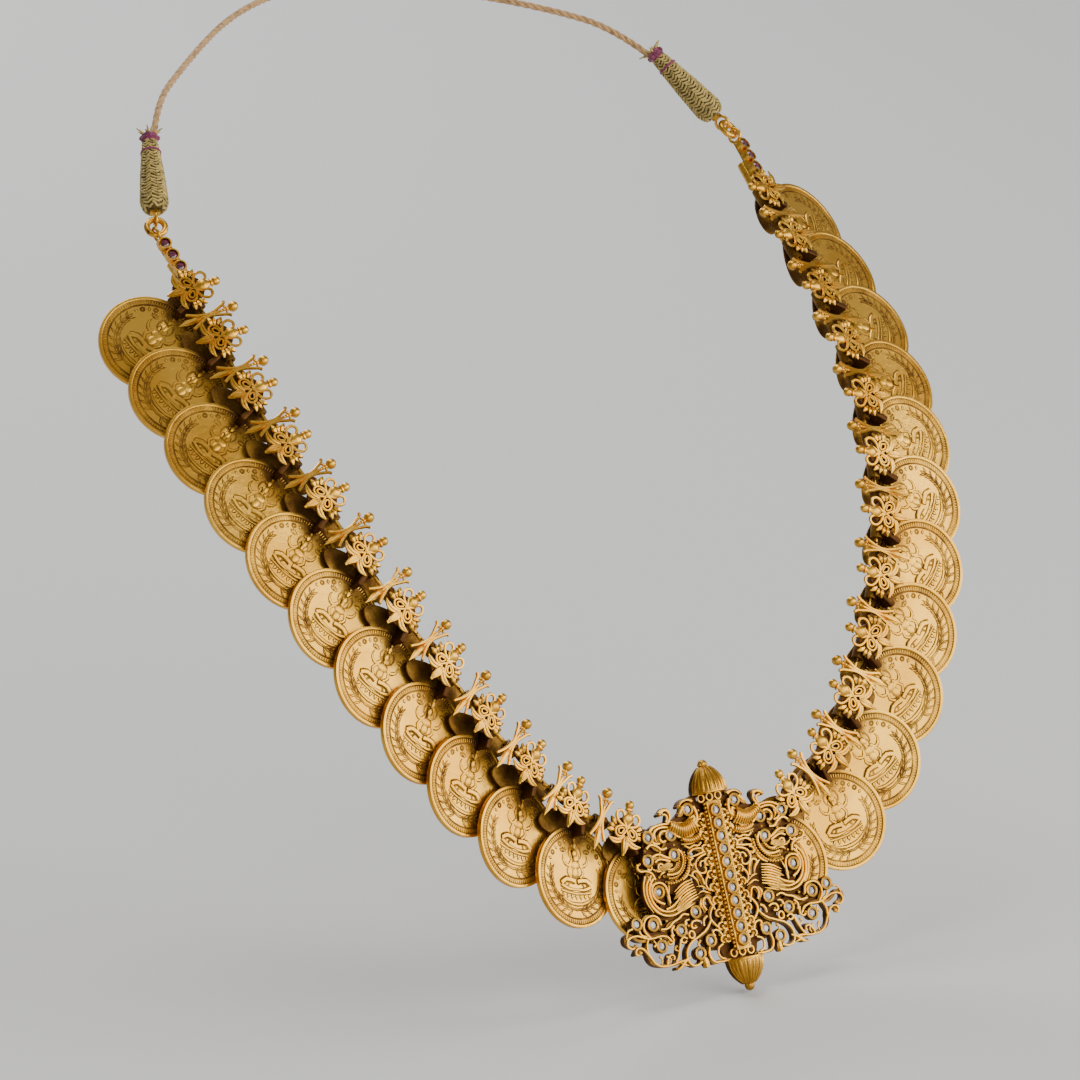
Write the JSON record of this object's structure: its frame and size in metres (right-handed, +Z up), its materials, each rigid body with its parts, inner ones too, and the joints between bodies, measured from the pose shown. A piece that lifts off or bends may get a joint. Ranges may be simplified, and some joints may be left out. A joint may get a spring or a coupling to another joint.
{
  "type": "coin necklace",
  "caption": "Antique gold necklace of overlapping medallion coins on flower links, with a pierced peacock pendant set with stones and a tied back cord.",
  "frame": {"origin": "where the back cord rests on the nape of the neck", "axes": "+X to the wearer's left, +Y to the wearer's back, +Z up, as worn"},
  "size_m": [0.1836, 0.1482, 0.176],
  "materials": {
    "antique_gold": "matte antique gold plating with brown in the hollows",
    "clear_stone": "clear cut stone",
    "red_stone": "dark red cut stone",
    "zari_thread": "wound metallic thread in a herringbone",
    "tie_thread": "twisted silky thread",
    "back_cord": "thin braided cord"
  },
  "bodies": {
    "root": {"coin_link_left_01": "antique_gold", "coin_link_left_02": "antique_gold", "coin_link_left_03": "antique_gold", "coin_link_left_04": "antique_gold", "coin_link_left_05": "antique_gold", "coin_link_left_06": "antique_gold", "coin_link_left_07": "antique_gold", "coin_link_left_08": "antique_gold", "coin_link_left_09": "antique_gold", "coin_link_left_10": "antique_gold", "coin_link_left_11": "antique_gold", "coin_link_left_12": "antique_gold", "spacers_left": "antique_gold", "carrying_wire_left": "antique_gold", "end_link_left": "antique_gold", "band_ring_left": "antique_gold", "hook_left": "antique_gold", "sleeve_left": "zari_thread", "tie_thread_left": "tie_thread", "coin_link_right_01": "antique_gold", "coin_link_right_02": "antique_gold", "coin_link_right_03": "antique_gold", "coin_link_right_04": "antique_gold", "coin_link_right_05": "antique_gold", "coin_link_right_06": "antique_gold", "coin_link_right_07": "antique_gold", "coin_link_right_08": "antique_gold", "coin_link_right_09": "antique_gold", "coin_link_right_10": "antique_gold", "coin_link_right_11": "antique_gold", "coin_link_right_12": "antique_gold", "spacers_right": "antique_gold", "carrying_wire_right": "antique_gold", "end_link_right": "antique_gold", "band_ring_right": "antique_gold", "hook_right": "antique_gold", "sleeve_right": "zari_thread", "tie_thread_right": "tie_thread", "red_stones": "red_stone", "back_cord": "back_cord", "pendant_frame": "antique_gold", "pendant_stones": "clear_stone"}
  },
  "joints": []
}
